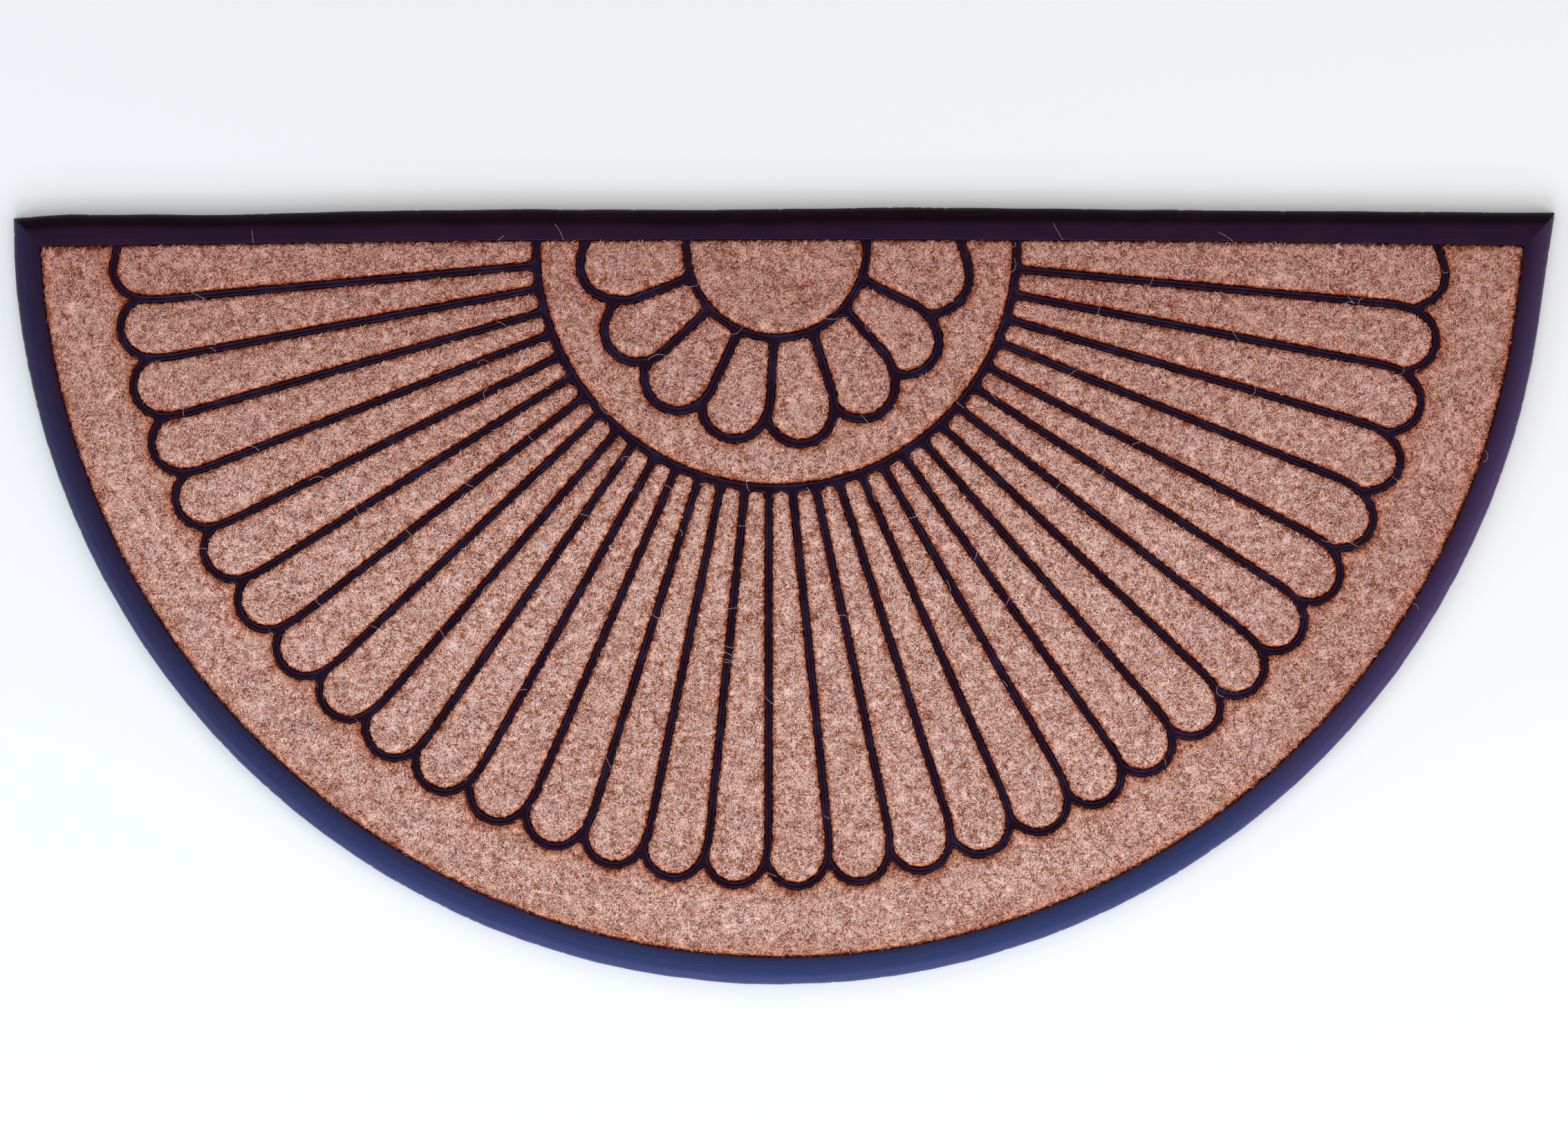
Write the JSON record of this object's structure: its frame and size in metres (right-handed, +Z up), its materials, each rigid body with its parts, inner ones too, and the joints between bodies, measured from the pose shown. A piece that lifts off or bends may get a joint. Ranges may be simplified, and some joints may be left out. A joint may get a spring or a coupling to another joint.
{
  "type": "half-round rubber and coir doormat with a shell fan pattern",
  "caption": "Half-round scraper doormat: a moulded black rubber tray with a bevelled rim and raised ribs in an open-shell fan, every compartment filled with tan coir pile.",
  "frame": {"origin": "on the floor under the middle of the mat's outline", "axes": "+Z up out of the pile, +X along the straight edge to the right seen from above, +Y towards the straight edge"},
  "size_m": [0.9144, 0.461, 0.0093],
  "materials": {
    "rubber": "satin, blue-black, smooth moulded",
    "coir": "matt short coir pile, tan with darker specks"
  },
  "bodies": {
    "root": {"tray": "rubber", "outer_field": "coir", "long_petal_01": "coir", "long_petal_02": "coir", "long_petal_03": "coir", "long_petal_04": "coir", "long_petal_05": "coir", "long_petal_06": "coir", "long_petal_07": "coir", "long_petal_08": "coir", "long_petal_09": "coir", "long_petal_10": "coir", "long_petal_11": "coir", "long_petal_12": "coir", "long_petal_13": "coir", "long_petal_14": "coir", "long_petal_15": "coir", "long_petal_16": "coir", "long_petal_17": "coir", "long_petal_18": "coir", "long_petal_19": "coir", "long_petal_20": "coir", "long_petal_21": "coir", "long_petal_22": "coir", "long_petal_23": "coir", "long_petal_24": "coir", "long_petal_25": "coir", "long_petal_26": "coir", "long_petal_27": "coir", "long_petal_28": "coir", "long_petal_29": "coir", "long_petal_30": "coir", "long_petal_31": "coir", "long_petal_32": "coir", "ring_band": "coir", "small_petal_1": "coir", "small_petal_2": "coir", "small_petal_3": "coir", "small_petal_4": "coir", "small_petal_5": "coir", "small_petal_6": "coir", "small_petal_7": "coir", "small_petal_8": "coir", "hub_pad": "coir"}
  },
  "joints": []
}
